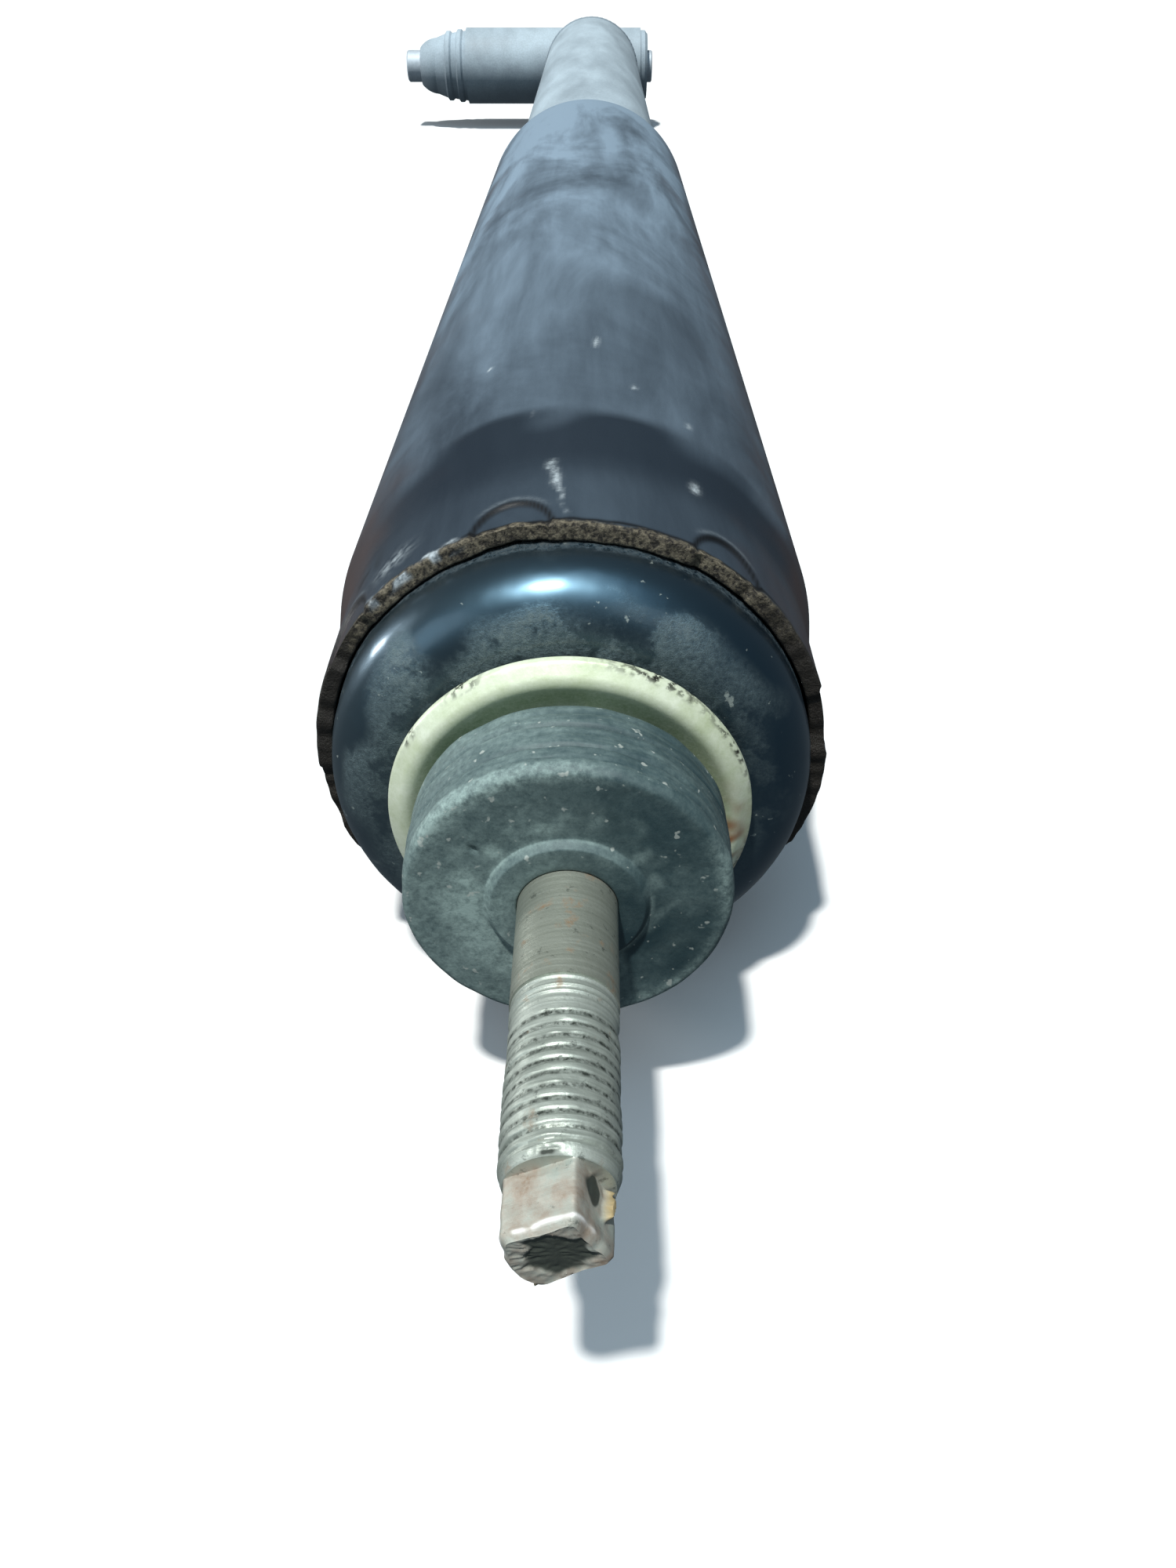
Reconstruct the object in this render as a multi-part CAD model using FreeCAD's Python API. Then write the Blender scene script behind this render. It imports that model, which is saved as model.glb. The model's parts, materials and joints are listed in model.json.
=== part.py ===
import FreeCAD, Part
import math
import os

# Rear shock absorber: a twin-tube telescopic damper with a threaded stud at the top and a
# rubber-bushed cross tube at the bottom, drawn fully extended. Millimetres.
# Frame: origin at the centre of the lower cross tube, where it crosses the damper's axis.
# +Y runs from the stud to the cross tube, +X along the cross tube, +Z up.
# Along the damper, a station is the distance from the rod's shoulder towards the cross tube.

# Driving dimensions
shoulder_to_eye = 700.0
stroke = 235.0
stud_length = 53.0
stud_radius = 4.95
shank_start = -29.5
shank_end = -17.0
thread_pitch = 1.25
thread_turns = 11
rod_radius = 6.25
cap_flat_radius = 20.2
cap_radius = 27.1
dust_radius = 30.8
dust_wall = 2.0
dust_end = 305.0
reserve_radius = 25.5
reserve_wall = 1.5
bore_radius = 16.0
pressure_wall = 1.5
eye_radius = 19.0
eye_wall = 2.5
sleeve_radius = 8.0
sleeve_bore = 6.1
running_gap = 0.05

# Stations worked out from them
bush_back = -2.0
bush_front = -15.7
rim_station = 8.5
bump_end = 24.0
body_top = bump_end + 1.0 + stroke
guide_seat = body_top + 12.0
guide_end = body_top + 27.0
piston_seat = guide_end + 19.0
reserve_end = shoulder_to_eye - 24.0
eye_face = shoulder_to_eye - eye_radius
cap_face = eye_face - 0.5
pressure_end = reserve_end - 24.0
reserve_bore = reserve_radius - reserve_wall

os.makedirs("parts", exist_ok=True)
axis_y = FreeCAD.Vector(0, 1, 0)
axis_x = FreeCAD.Vector(1, 0, 0)
origin = FreeCAD.Vector(0, 0, 0)


def outline(points, to_vector):
    # Closed wire through the points. An entry of two points is an arc: its middle, its end.
    edges = []
    last = to_vector(points[0])
    for entry in points[1:] + [points[0]]:
        if isinstance(entry[0], tuple):
            middle, end = to_vector(entry[0]), to_vector(entry[1])
            edges.append(Part.Arc(last, middle, end).toShape())
        else:
            end = to_vector(entry)
            edges.append(Part.makeLine(last, end))
        last = end
    return Part.Wire(edges)


def lathe(points):
    # Solid turned about the damper's axis from (radius, station) points.
    wire = outline(points, lambda p: FreeCAD.Vector(p[0], p[1] - shoulder_to_eye, 0))
    return Part.Face(wire).revolve(origin, axis_y, 360)


def lathe_across(points):
    # Solid turned about the cross tube's axis from (x, radius) points.
    wire = outline(points, lambda p: FreeCAD.Vector(p[0], p[1], 0))
    return Part.Face(wire).revolve(origin, axis_x, 360)


def ring(inner, outer, start, end):
    return lathe([(inner, start), (outer, start), (outer, end), (inner, end)])


def rod_at(radius, start, end, around=0.0, angle=0.0):
    # Cylinder along the damper, its centre at a distance and angle from the axis.
    turn = math.radians(angle)
    base = FreeCAD.Vector(around * math.cos(turn), start - shoulder_to_eye, around * math.sin(turn))
    return Part.makeCylinder(radius, end - start, base, axis_y)


def torus(centre_radius, wire_radius, station):
    centre = FreeCAD.Vector(0, station - shoulder_to_eye, 0)
    return Part.makeTorus(centre_radius, wire_radius, centre, axis_y)


def hexagon(across_flats, start, end):
    corner = across_flats / math.sqrt(3)
    points = []
    for i in range(6):
        turn = math.radians(60 * i)
        x, z = corner * math.cos(turn), corner * math.sin(turn)
        points.append(FreeCAD.Vector(x, start - shoulder_to_eye, z))
    face = Part.Face(Part.makePolygon(points + points[:1]))
    return face.extrude(FreeCAD.Vector(0, end - start, 0))


def drill(body, count, hole_radius, circle_radius, start, end):
    for i in range(count):
        body = body.cut(rod_at(hole_radius, start, end, circle_radius, 360.0 * i / count))
    return body


def arc_corner(centre, radius, start_angle, end_angle):
    # Quarter-round corner as the (middle, end) pair that outline() takes.
    middle = math.radians((start_angle + end_angle) / 2)
    end = math.radians(end_angle)
    return ((centre[0] + radius * math.cos(middle), centre[1] + radius * math.sin(middle)),
            (centre[0] + radius * math.cos(end), centre[1] + radius * math.sin(end)))


def save(name, shape):
    shape.exportStep("parts/" + name + ".step")
    print(name, shape.ShapeType, "valid", shape.isValid(), "volume", round(shape.Volume))


# Rod with its stud: square end for a spanner, thread, plain shank, chromed rod, piston spigot.
# The shank is a little smaller where the bush and the washer sit on it.

square_side = 6.5
square_length = 5.3
square_turn = 17.0
spigot_radius = 5.0
spigot_length = 36.0


def square_end():
    length = square_length + 1.0
    half = square_side / 2
    box = Part.makeBox(square_side, length, square_side, FreeCAD.Vector(-half, -stud_length, -half))
    box = box.makeChamfer(0.4, [box.Edges[i] for i in range(len(box.Edges))
                                if box.Edges[i].BoundBox.YMax < 0.1 - stud_length])
    box.translate(FreeCAD.Vector(0, -shoulder_to_eye, 0))
    box.rotate(origin, axis_y, square_turn + 45.0)
    return box.common(rod_at(stud_radius - 0.55, -stud_length, -stud_length + length))


def piston_rod():
    crest, root = stud_radius - 0.02, stud_radius - 0.72
    start = square_length - stud_length
    points = [(0, start), (root - 0.2, start)]
    for i in range(thread_turns):
        turn = start + 0.3 + i * thread_pitch
        points += [(root, turn), (crest, turn + 0.5), (crest, turn + 0.75)]
    thread_end = start + 0.3 + thread_turns * thread_pitch
    relief = stud_radius - 0.25
    spigot_end = piston_seat + spigot_length
    points += [(root, thread_end), (relief, thread_end + 0.6), (relief, shank_start),
               (stud_radius, shank_start), (stud_radius, shank_end), (relief, shank_end),
               (relief, 0), (rod_radius, 0), (rod_radius, piston_seat),
               (spigot_radius, piston_seat), (spigot_radius, spigot_end - 1),
               (spigot_radius - 1, spigot_end), (0, spigot_end)]
    return lathe(points).fuse(square_end()).removeSplitter()


# Top mounting stack on the stud

def upper_bush():
    radius, bore, boss = 16.3, stud_radius + 0.07, 8.1
    return lathe([(bore, bush_back), (13.2, bush_back), (radius, bush_back - 3.2),
                  (radius, bush_front + 0.7), (radius - 0.7, bush_front), (boss + 0.6, bush_front),
                  (boss, bush_front - 0.8), (bore, bush_front - 0.8)])


def cup_washer():
    bore, edge, crest = stud_radius + 0.07, 19.6, 17.8
    return lathe([(bore, 0), (14.6, 0), (crest, -1.4), (edge - 0.3, -0.3), (edge, -0.9),
                  (edge - 0.4, -2.0), (crest, -3.4), (14.2, bush_back), (bore, bush_back)])


# Dust cap and dust tube

def dust_cap():
    thick, corner = 2.5, cap_radius - cap_flat_radius
    centre = (cap_flat_radius, corner)
    skirt_end = 22.0
    return lathe([(rod_radius, 0), (cap_flat_radius, 0), arc_corner(centre, corner, -90, 0),
                  (cap_radius, skirt_end), (cap_radius - thick, skirt_end),
                  (cap_radius - thick, corner), arc_corner(centre, corner - thick, 0, -90),
                  (rod_radius, thick)])


def cap_weld():
    return lathe([(rod_radius, 2.5), (10.0, 2.5), (rod_radius, 6.0)])


def dust_tube():
    neck = cap_radius + dust_wall
    neck_end, full_start = 24.0, 34.0
    return lathe([(cap_radius, rim_station), (neck, rim_station), (neck + 0.1, neck_end),
                  (dust_radius, full_start), (dust_radius - 0.3, dust_end),
                  (dust_radius - 0.3 - dust_wall, dust_end), (dust_radius - dust_wall, full_start),
                  (cap_radius, neck_end + 0.5)])


def bump_cushion():
    bore = rod_radius + 0.05
    return lathe([(bore, 6.3), (17.0, 6.3), (17.0, 14.0), (13.5, bump_end), (bore, bump_end)])


# Piston and its valves, on the rod's spigot

band_start, band_end = piston_seat + 10.0, piston_seat + 18.0
piston_face = piston_seat + 5.2
piston_back = piston_seat + 23.0
check_travel = 0.8


def rebound_stop_ring():
    return ring(rod_radius, 10.5, guide_end + 10.0, guide_end + 15.0)


def rebound_cushion():
    start, end = guide_end + 1.0, guide_end + 10.0
    bore = rod_radius + 0.05
    return lathe([(bore, start), (12.0, start), (13.0, start + 2), (13.0, end), (bore, end)])


def piston_stop_washer():
    return ring(spigot_radius, 11.0, piston_seat, piston_seat + 2.5)


def piston_valve_spring():
    start, end = piston_seat + 2.5, piston_face - 0.4
    return lathe([(spigot_radius + 0.1, start), (6.2, start), (8.0, end - 0.5), (8.0, end),
                  (7.4, end), (spigot_radius + 0.1, start + 0.6)])


def piston_check_plate():
    return ring(8.3, 14.0, piston_face - check_travel, piston_face)


def piston():
    groove = 14.4
    body = lathe([(spigot_radius, piston_face), (15.7, piston_face), (15.7, band_start),
                  (groove, band_start), (groove, band_end), (15.7, band_end),
                  (15.7, piston_back), (spigot_radius, piston_back)])
    return drill(body, 8, 1.4, 11.0, piston_face - 1, piston_back + 1)


def piston_band():
    return ring(14.4 + running_gap, bore_radius - running_gap, band_start + 0.1, band_end - 0.1)


def shim_stack(bore, first_radius, start):
    # Four discs that get smaller away from the valve's seat, each a solid of its own.
    discs = [ring(bore, first_radius - 1.2 * i, start + 0.3 * i, start + 0.3 * (i + 1))
             for i in range(4)]
    return Part.makeCompound(discs)


def piston_support_washer():
    return ring(spigot_radius, 8.0, piston_back + 1.2, piston_back + 4.0)


def piston_nut():
    start, end = piston_back + 4.0, piston_back + 12.0
    return hexagon(15.0, start, end).cut(rod_at(spigot_radius, start - 1, end + 1))


# Damper body: reserve tube, pressure tube, rod guide, seal and closing ring

def reserve_tube():
    lip, corner = 20.5, 2.0
    top = body_top
    centre = (reserve_radius - corner, top + corner)
    return lathe([(lip, top), (reserve_radius - corner, top), arc_corner(centre, corner, -90, 0),
                  (reserve_radius, reserve_end), (reserve_bore, reserve_end),
                  (reserve_bore, top + reserve_wall), (lip, top + reserve_wall)])


def closing_ring():
    return ring(rod_radius + 0.75, reserve_bore - 0.1, body_top + reserve_wall, body_top + 4.0)


def rod_seal():
    start, end, bore = body_top + 4.0, guide_seat, rod_radius + running_gap
    return lathe([(12.0, start), (reserve_bore - 0.1, start), (reserve_bore - 0.1, end),
                  (bore, end), (bore, start + 0.8), (bore + 1.3, start + 0.8),
                  (bore + 1.3, end - 2.5), (12.0, end - 2.5)])


def garter_spring():
    return torus(rod_radius + running_gap + 1.3 + 0.9, 0.8, body_top + 7.0)


def rod_guide():
    bore, outer, groove = rod_radius + 1.05, reserve_bore - 0.1, reserve_bore - 1.7
    seat = guide_seat
    flange_end = seat + 7.0
    body = lathe([(bore, seat), (outer, seat), (outer, seat + 2), (groove, seat + 2),
                  (groove, seat + 4.4), (outer, seat + 4.4), (outer, flange_end),
                  (bore_radius - running_gap, flange_end), (bore_radius - running_gap, guide_end),
                  (bore, guide_end)])
    return drill(body, 4, 1.5, 20.0, seat + 4.4, flange_end + 1)


def guide_bushing():
    return ring(rod_radius + running_gap, rod_radius + 1.05, guide_seat + 2, guide_end)


def guide_o_ring():
    return torus(reserve_bore - 0.9, 0.8, guide_seat + 3.2)


def pressure_tube():
    return ring(bore_radius, bore_radius + pressure_wall, guide_seat + 7.0, pressure_end)


# Base valve at the foot of the pressure tube

base_face = pressure_end - 7.0
bolt_radius = 3.0
skirt_end = reserve_end - 4.0


def base_valve_body():
    spigot, skirt_in, skirt_out = bore_radius - running_gap, 15.5, 18.5
    body = lathe([(bolt_radius, base_face), (spigot, base_face), (spigot, pressure_end),
                  (skirt_out, pressure_end), (skirt_out, skirt_end), (skirt_in, skirt_end),
                  (skirt_in, pressure_end + 3), (bolt_radius, pressure_end + 3)])
    body = drill(body, 6, 1.4, 10.5, base_face - 1, pressure_end + 4)
    for angle in (0, 90):
        slot = Part.makeBox(8, 8, 50, FreeCAD.Vector(-4, skirt_end - 8 - shoulder_to_eye, -25))
        slot.rotate(origin, axis_y, angle)
        body = body.cut(slot)
    return body


def base_check_plate():
    return ring(7.3, 13.5, base_face - check_travel, base_face)


def base_valve_spring():
    start, end = base_face - 3.0, base_face - 0.4
    return lathe([(bolt_radius + 0.1, start), (4.6, start), (7.0, end - 0.5), (7.0, end),
                  (6.4, end), (bolt_radius + 0.1, start + 0.6)])


def base_valve_bolt():
    head = hexagon(10.0, base_face - 6.5, base_face - 3.0)
    return head.fuse(rod_at(bolt_radius, base_face - 3.5, pressure_end + 12)).removeSplitter()


def base_valve_nut():
    start, end = pressure_end + 4.2, pressure_end + 9.0
    return hexagon(10.0, start, end).cut(rod_at(bolt_radius, start - 1, end + 1))


def base_cap():
    spigot = reserve_bore - 0.1
    return lathe([(0, skirt_end), (spigot, skirt_end), (spigot, reserve_end),
                  (reserve_radius, reserve_end), (reserve_radius, reserve_end + 1.5),
                  (reserve_radius - 4, cap_face), (0, cap_face)])


def base_weld():
    station = reserve_end
    return lathe([(reserve_radius, station - 1.6), (reserve_radius + 0.8, station - 0.8),
                  (reserve_radius + 0.8, station + 0.4), (reserve_radius, station + 1.2)])


# Lower mounting: cross tube, its weld, two rubber bushes and the inner sleeve

tube_left, tube_right = -72.0, 28.0
bush_left_tip, bush_right_tip = -99.0, 32.0
sleeve_left, sleeve_right = -107.0, 35.0
bush_bore = sleeve_radius + running_gap


def lower_barrel():
    inner = eye_radius - eye_wall
    return lathe_across([(tube_left, inner), (tube_left, eye_radius), (tube_right, eye_radius),
                         (tube_right, inner)])


def barrel_weld():
    foot, waist, reach = 19.0, 15.5, 10.0
    collar = lathe([(0, cap_face), (foot, cap_face), (waist, cap_face + reach),
                    (0, cap_face + reach)])
    barrel = Part.makeCylinder(eye_radius, 80, FreeCAD.Vector(-40, 0, 0), axis_x)
    return collar.cut(barrel)


def barrel_bush_left():
    inner = eye_radius - eye_wall
    ridge = 1.0
    points = [(-40, bush_bore), (-40, inner), (tube_left, inner), (tube_left, inner + 1.2)]
    for start, radius in ((-74.0, 17.2), (-80.5, 16.4)):
        points += [(start, radius), (start - 1.0, radius + ridge), (start - 3.0, radius + ridge),
                   (start - 4.0, radius - 0.4)]
    points += [(-90, 14.0), ((-96.5, 11.8), (bush_left_tip, 9.6)), (bush_left_tip, bush_bore)]
    return lathe_across(points)


def barrel_bush_right():
    inner = eye_radius - eye_wall
    return lathe_across([(2, bush_bore), (2, inner), (tube_right, inner), (tube_right, 17.8),
                         (bush_right_tip - 1.5, 17.8), (bush_right_tip, 16.0),
                         (bush_right_tip, bush_bore)])


def inner_sleeve():
    edge = 0.6
    return lathe_across([(sleeve_left, sleeve_bore), (sleeve_left, sleeve_radius - edge),
                         (sleeve_left + edge, sleeve_radius), (sleeve_right - edge, sleeve_radius),
                         (sleeve_right, sleeve_radius - edge), (sleeve_right, sleeve_bore)])


makers = [piston_rod, upper_bush, cup_washer, dust_cap, cap_weld, dust_tube, bump_cushion,
          rebound_stop_ring, rebound_cushion, piston_stop_washer, piston_valve_spring,
          piston_check_plate, piston, piston_band, piston_support_washer, piston_nut,
          reserve_tube, closing_ring, rod_seal, garter_spring, rod_guide, guide_bushing,
          guide_o_ring, pressure_tube, base_valve_body, base_check_plate, base_valve_spring,
          base_valve_bolt, base_valve_nut, base_cap, base_weld, lower_barrel, barrel_weld,
          barrel_bush_left, barrel_bush_right, inner_sleeve]
for maker in makers:
    save(maker.__name__, maker())
save("piston_shims", shim_stack(spigot_radius, 12.9, piston_back))
save("base_shims", shim_stack(bolt_radius, 12.0, pressure_end + 3))
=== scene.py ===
import json
import math
from functools import partial

import bmesh
import bpy
import numpy as np
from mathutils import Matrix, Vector


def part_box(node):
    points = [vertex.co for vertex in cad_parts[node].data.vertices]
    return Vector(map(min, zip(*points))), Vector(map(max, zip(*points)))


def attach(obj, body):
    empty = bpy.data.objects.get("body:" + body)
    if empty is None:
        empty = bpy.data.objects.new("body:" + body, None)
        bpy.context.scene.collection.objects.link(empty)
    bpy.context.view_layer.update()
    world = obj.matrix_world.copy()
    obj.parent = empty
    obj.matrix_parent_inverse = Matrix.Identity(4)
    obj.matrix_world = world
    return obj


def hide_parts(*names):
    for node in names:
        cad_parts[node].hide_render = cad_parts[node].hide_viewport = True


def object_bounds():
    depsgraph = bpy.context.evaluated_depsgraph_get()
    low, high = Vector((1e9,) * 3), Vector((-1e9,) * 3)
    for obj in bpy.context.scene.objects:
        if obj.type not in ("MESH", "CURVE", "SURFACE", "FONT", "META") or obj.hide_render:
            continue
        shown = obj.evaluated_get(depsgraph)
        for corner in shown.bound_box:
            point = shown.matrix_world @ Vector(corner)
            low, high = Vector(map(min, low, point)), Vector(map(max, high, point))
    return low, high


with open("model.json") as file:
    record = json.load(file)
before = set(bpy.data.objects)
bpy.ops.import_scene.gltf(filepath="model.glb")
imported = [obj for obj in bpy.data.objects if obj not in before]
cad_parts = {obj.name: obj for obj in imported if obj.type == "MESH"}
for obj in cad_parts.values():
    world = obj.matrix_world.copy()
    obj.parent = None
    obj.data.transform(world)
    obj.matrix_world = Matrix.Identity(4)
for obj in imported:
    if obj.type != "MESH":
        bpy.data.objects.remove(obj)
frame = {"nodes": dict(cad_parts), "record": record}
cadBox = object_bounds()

# A rear damper lying on a pale floor, its stud towards the camera. Shapes are worked out in
# millimetres: radius from the damper's axis, station (distance from the rod's shoulder
# towards the cross tube) and angle (from straight up, towards +X).
mm = 0.001
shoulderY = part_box("dust_cap")[0].y
print("frame loaded:", len(frame["nodes"]), "nodes")


def smooth(low, high, value):
    # 0 at low, 1 at high, an S-curve between
    t = np.clip((value - low) / (high - low), 0.0, 1.0)
    return t * t * (3.0 - 2.0 * t)


def hump(value, centre, width):
    # a bell of height 1
    return np.exp(-((value - centre) / width) ** 2)


def around(angle, seed, lowest, highest, fall=1.0):
    # a sum of cosines that closes round the circle, weaker as it gets finer; about -1 to 1
    rng = np.random.default_rng(seed)
    total, power = 0.0, 0.0
    for n in range(lowest, highest + 1):
        size = n ** -fall
        total = total + size * np.cos(n * angle + rng.uniform(0, 2 * math.pi))
        power += size * size
    return total / math.sqrt(2.0 * power)


def ripple(radius, station, angle, seed, waveMm, count=24):
    # smooth bumps about waveMm long: a sum of plane waves in random directions, taken at
    # each point's own place, so they have no seam and no pole; about -1 to 1
    rng = np.random.default_rng(seed)
    x, z = radius * np.sin(angle), radius * np.cos(angle)
    total = 0.0
    for _ in range(count):
        way = rng.normal(size=3)
        way *= 2 * math.pi / (waveMm * rng.uniform(0.6, 1.6) * np.linalg.norm(way))
        total = total + np.cos(way[0] * x + way[1] * station + way[2] * z
                               + rng.uniform(0, 2 * math.pi))
    return total / math.sqrt(count / 2.0)


def apart(angle, degrees):
    # signed angle from this many degrees off straight up, in radians
    return (angle - np.radians(degrees) + math.pi) % (2 * math.pi) - math.pi


def rounded(corners, closed=True):
    # profile through (radius, station, fillet, gap) corners. A fillet is the arc tangent to
    # both runs; points lie about one gap apart on the run that follows, closer on arcs.
    count = len(corners)
    rows = []
    ends = []
    for i, (radius, station, fillet, gap) in enumerate(corners):
        here = np.array([radius, station], float)
        before = np.array(corners[i - 1][:2], float)
        after = np.array(corners[(i + 1) % count][:2], float)
        first = not closed and i == 0
        last = not closed and i == count - 1
        if fillet <= 0 or first or last:
            ends.append((here[None], gap))
            continue
        a = (before - here) / np.linalg.norm(before - here)
        b = (after - here) / np.linalg.norm(after - here)
        half = math.acos(np.clip(a @ b, -1, 1)) / 2
        back = fillet / math.tan(half)
        centre = here + (a + b) / np.linalg.norm(a + b) * fillet / math.sin(half)
        start, end = here + a * back - centre, here + b * back - centre
        t0 = math.atan2(start[1], start[0])
        sweep = (math.atan2(end[1], end[0]) - t0 + math.pi) % (2 * math.pi) - math.pi
        steps = max(4, int(abs(sweep) * fillet / gap) + 2)
        t = t0 + sweep * np.linspace(0, 1, steps)
        ends.append((centre + fillet * np.stack([np.cos(t), np.sin(t)], -1), gap))
    for i, (points, gap) in enumerate(ends):
        rows.append(points)
        if not closed and i == count - 1:
            break
        ahead = ends[(i + 1) % count][0][0]
        steps = int(np.linalg.norm(ahead - points[-1]) / gap)
        if steps > 1:
            t = (np.arange(1, steps) / steps)[:, None]
            rows.append(points[-1] + (ahead - points[-1]) * t)
    return np.concatenate(rows)


def gridPiece(name, points, closedRows, marks, sharp):
    # mesh from a (rows, columns, 3) grid in metres whose columns close round; faces are
    # turned outwards by the sign of the enclosed volume, and points on the axis are merged
    rows, columns = points.shape[:2]
    index = np.arange(rows * columns).reshape(rows, columns)
    ahead = np.roll(index, -1, 0) if closedRows else index[1:]
    here = index if closedRows else index[:-1]
    corners = [here, np.roll(here, -1, 1), np.roll(ahead, -1, 1), ahead]
    quads = np.stack(corners, -1).reshape(-1, 4)
    flat = points.reshape(-1, 3)
    a, b, c, d = (flat[quads[:, k]] for k in range(4))
    volume = np.einsum("ij,ij->", a, np.cross(b, c)) + np.einsum("ij,ij->", a, np.cross(c, d))
    if volume < 0:
        quads = quads[:, ::-1]
    mesh = bpy.data.meshes.new(name)
    mesh.vertices.add(len(flat))
    mesh.vertices.foreach_set("co", flat.astype(np.float32).ravel())
    mesh.loops.add(quads.size)
    mesh.loops.foreach_set("vertex_index", quads.astype(np.int32).ravel())
    mesh.polygons.add(len(quads))
    mesh.polygons.foreach_set("loop_start", np.arange(0, quads.size, 4, dtype=np.int32))
    mesh.update(calc_edges=True)
    for mark, value in marks.items():
        layer = mesh.attributes.new(mark, "FLOAT", "POINT")
        layer.data.foreach_set("value", np.broadcast_to(value, (rows, columns))
                               .astype(np.float32).ravel())
    if not closedRows:
        work = bmesh.new()
        work.from_mesh(mesh)
        bmesh.ops.remove_doubles(work, verts=work.verts, dist=1e-7)
        work.to_mesh(mesh)
        work.free()
    mesh.validate()
    mesh.shade_smooth()
    mesh.set_sharp_from_angle(angle=math.radians(sharp))
    piece = bpy.data.objects.new(name, mesh)
    bpy.context.scene.collection.objects.link(piece)
    return piece


def turned(name, profile, columns, shape, closedRows=True, sharp=40):
    # surface of revolution: each profile point is carried round the axis, then moved by
    # shape(radius, station, angle), which returns radius, station and a dictionary of marks
    angle = np.linspace(0, 2 * math.pi, columns, endpoint=False)[None, :]
    radius = profile[:, :1] + 0 * angle
    station = profile[:, 1:2] + 0 * angle
    radius, station, marks = shape(radius, station, angle + 0 * radius)
    parts = [radius * np.sin(angle) * mm, shoulderY + station * mm, radius * np.cos(angle) * mm]
    return gridPiece(name, np.stack(parts, -1), closedRows, marks, sharp)


def colour(code):
    # sRGB hex to linear
    value = np.array([int(code[i:i + 2], 16) / 255 for i in (0, 2, 4)])
    linear = np.where(value <= 0.04045, value / 12.92, ((value + 0.055) / 1.055) ** 2.4)
    return (*linear.tolist(), 1.0)


def perMm(size):
    # texture scale, in cycles a metre, for a pattern of this size in millimetres
    return 1.0 / (size * mm)


def setInputs(node, values):
    # links an input to a socket or to a node's first output, and sets anything else as its value
    for key, value in values.items():
        if isinstance(value, bpy.types.Node):
            value = value.outputs[0]
        if isinstance(value, bpy.types.NodeSocket):
            node.id_data.links.new(value, node.inputs[key])
        else:
            node.inputs[key].default_value = value


def addNode(tree, kind, inputs=None, **settings):
    node = tree.nodes.new("ShaderNode" + kind)
    for key, value in settings.items():
        setattr(node, key, value)
    setInputs(node, inputs or {})
    return node


def startMaterial(name):
    # an empty material with its shader, its Object coordinates and addNode for its own tree
    material = bpy.data.materials.new(name)
    material.use_nodes = True
    material.node_tree.nodes.clear()
    add = partial(addNode, material.node_tree)
    shader = add("BsdfPrincipled")
    add("OutputMaterial", {"Surface": shader})
    return material, shader, add("TexCoord").outputs["Object"], add


# The stud: square end, thread, relief, plain shank, and the rod behind it.

stud = {
    "tip": -53.0, "squareEnd": -47.7, "squareSide": 6.5, "squareCorner": 4.38, "chamfer": 0.62,
    "cornerAngle": 17.0, "pitch": 1.25, "crest": 4.93, "depth": 0.52, "threadEnd": -33.4,
    "relief": 4.68, "shankStart": -29.5, "shank": 4.94, "wearMm": 0.05,
    "ridges": ((-32.1, 0.06, 0.30), (-31.45, 0.20, 0.16),  # station, height, width
               (-30.75, 0.22, 0.16), (-29.75, 0.16, 0.14)),
    "bulgeAngle": 232, "worstCorner": 222, "burrAngle": 82, "spikeAngle": 200,
    "spikeStation": -52.5, "spigotMm": 36.0, "spigot": 5.0, "columns": 220,
    "steelColour": "99a198", "steelLight": "ced6cd", "darkColour": "3f453f",
    "shankColour": "7f8172", "rustColour": "7c5c3c", "burrColour": "b9a67c",
    # the last colour here is a painted highlight along the chamfer's upper edge
    "stainColour": "9a8c7e", "burntColour": "3c413b", "edgeHighlightColour": "f2f2ee",
    "chromeColour": "d6d8da",
}


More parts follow.
